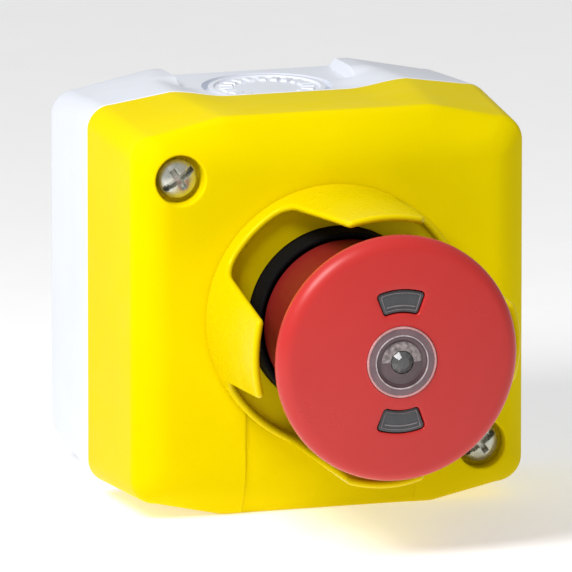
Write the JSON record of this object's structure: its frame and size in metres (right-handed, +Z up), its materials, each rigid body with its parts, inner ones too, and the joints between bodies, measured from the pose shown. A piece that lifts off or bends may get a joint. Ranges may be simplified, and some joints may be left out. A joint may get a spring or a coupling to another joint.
{
  "type": "emergency stop button",
  "caption": "Yellow surface-mount enclosure with a guarded red mushroom push button that latches, turns to release, and works contacts inside.",
  "frame": {"origin": "centre of the flat back face of the enclosure, on its mounting plane", "axes": "+Y points out of the back face into the wall, the button faces -Y, +Z is up and +X is to the right seen from the front"},
  "size_m": [0.068, 0.0893, 0.0658],
  "materials": {
    "pale_case": "fine matt moulded polycarbonate, very pale bluish grey",
    "yellow_cover": "satin moulded polycarbonate, signal yellow",
    "yellow_guard": "satin to gloss moulded polycarbonate, signal yellow",
    "red_head": "satin gloss moulded plastic, signal red",
    "black_bezel": "matt glass-filled nylon",
    "black_rubber": "matt nitrile rubber",
    "nickel_screw": "nickel-plated steel, slightly brushed",
    "spring_steel": "drawn spring steel",
    "brass": "stamped brass",
    "clear_lens": "clear polished polycarbonate",
    "smoke_window": "smoke-grey clear polycarbonate",
    "white_plastic": "natural white acetal",
    "grey_block": "matt polyamide, mid grey",
    "green_block": "matt polyamide, green",
    "indicator": "moulded acetal with printed fields"
  },
  "bodies": {
    "enclosure": {"rear_case": "pale_case", "front_cover": "yellow_cover", "cover_seal": "black_rubber", "cover_screw_upper": "nickel_screw", "cover_screw_lower": "nickel_screw", "guard": "yellow_guard", "panel_gasket": "black_rubber", "operator_body": "black_bezel", "fixing_nut": "black_bezel", "return_spring": "spring_steel", "light_block": "grey_block", "lamp": "clear_lens", "contact_block_left": "green_block", "contact_block_right": "green_block", "contact_spring_left": "spring_steel", "contact_spring_right": "spring_steel", "contact_strip_left_top": "brass", "contact_strip_left_bottom": "brass", "contact_strip_right_top": "brass", "contact_strip_right_bottom": "brass", "contact_strip_light_top": "brass", "contact_strip_light_bottom": "brass", "terminal_screw_left_top": "nickel_screw", "terminal_screw_left_bottom": "nickel_screw", "terminal_screw_right_top": "nickel_screw", "terminal_screw_right_bottom": "nickel_screw", "terminal_screw_light_top": "nickel_screw", "terminal_screw_light_bottom": "nickel_screw"},
    "plunger": {"spindle": "white_plastic", "pusher_plate": "black_bezel", "light_guide": "clear_lens"},
    "head": {"mushroom_cap": "red_head", "centre_lens": "clear_lens", "window_upper": "smoke_window", "window_lower": "smoke_window", "cap_retainer": "spring_steel"},
    "indicator": {"indicator_ring": "indicator"},
    "pawl_left": {"latch_pawl_left": "spring_steel"},
    "pawl_right": {"latch_pawl_right": "spring_steel"},
    "contact_left": {"contact_pusher_left": "white_plastic", "contact_bridge_left": "brass"},
    "contact_right": {"contact_pusher_right": "white_plastic", "contact_bridge_right": "brass"}
  },
  "joints": [
    {"name": "head_press", "type": "slide", "parent": "enclosure", "child": "plunger", "axis": [0, 1, 0], "range_m": [0, 0.0045], "deforming": ["return_spring", "contact_spring_left", "contact_spring_right"]},
    {"name": "head_twist", "type": "hinge", "parent": "plunger", "child": "head", "pos_m": [0, -0.08, 0], "axis": [0, 1, 0], "range_deg": [0, 40], "stiffness_Nm_per_rad": 0.05},
    {"name": "indicator_turn", "type": "hinge", "parent": "plunger", "child": "indicator", "pos_m": [0, -0.0841, 0], "axis": [0, 1, 0], "range_deg": [0, 40]},
    {"name": "pawl_left_slide", "type": "slide", "parent": "plunger", "child": "pawl_left", "axis": [-1, 0, 0], "range_m": [0, 0.0009]},
    {"name": "pawl_right_slide", "type": "slide", "parent": "plunger", "child": "pawl_right", "axis": [1, 0, 0], "range_m": [0, 0.0009]},
    {"name": "contact_left_travel", "type": "slide", "parent": "enclosure", "child": "contact_left", "axis": [0, 1, 0], "range_m": [0, 0.0045]},
    {"name": "contact_right_travel", "type": "slide", "parent": "enclosure", "child": "contact_right", "axis": [0, 1, 0], "range_m": [0, 0.0045]}
  ],
  "couplings": [
    {"joint": "indicator_turn", "follows": "head_press", "rad_per_m": 155.13},
    {"joint": "pawl_left_slide", "follows": "head_press", "ratio": 0.2},
    {"joint": "pawl_right_slide", "follows": "head_press", "ratio": 0.2},
    {"joint": "contact_left_travel", "follows": "head_press", "ratio": 1},
    {"joint": "contact_right_travel", "follows": "head_press", "ratio": 1}
  ]
}
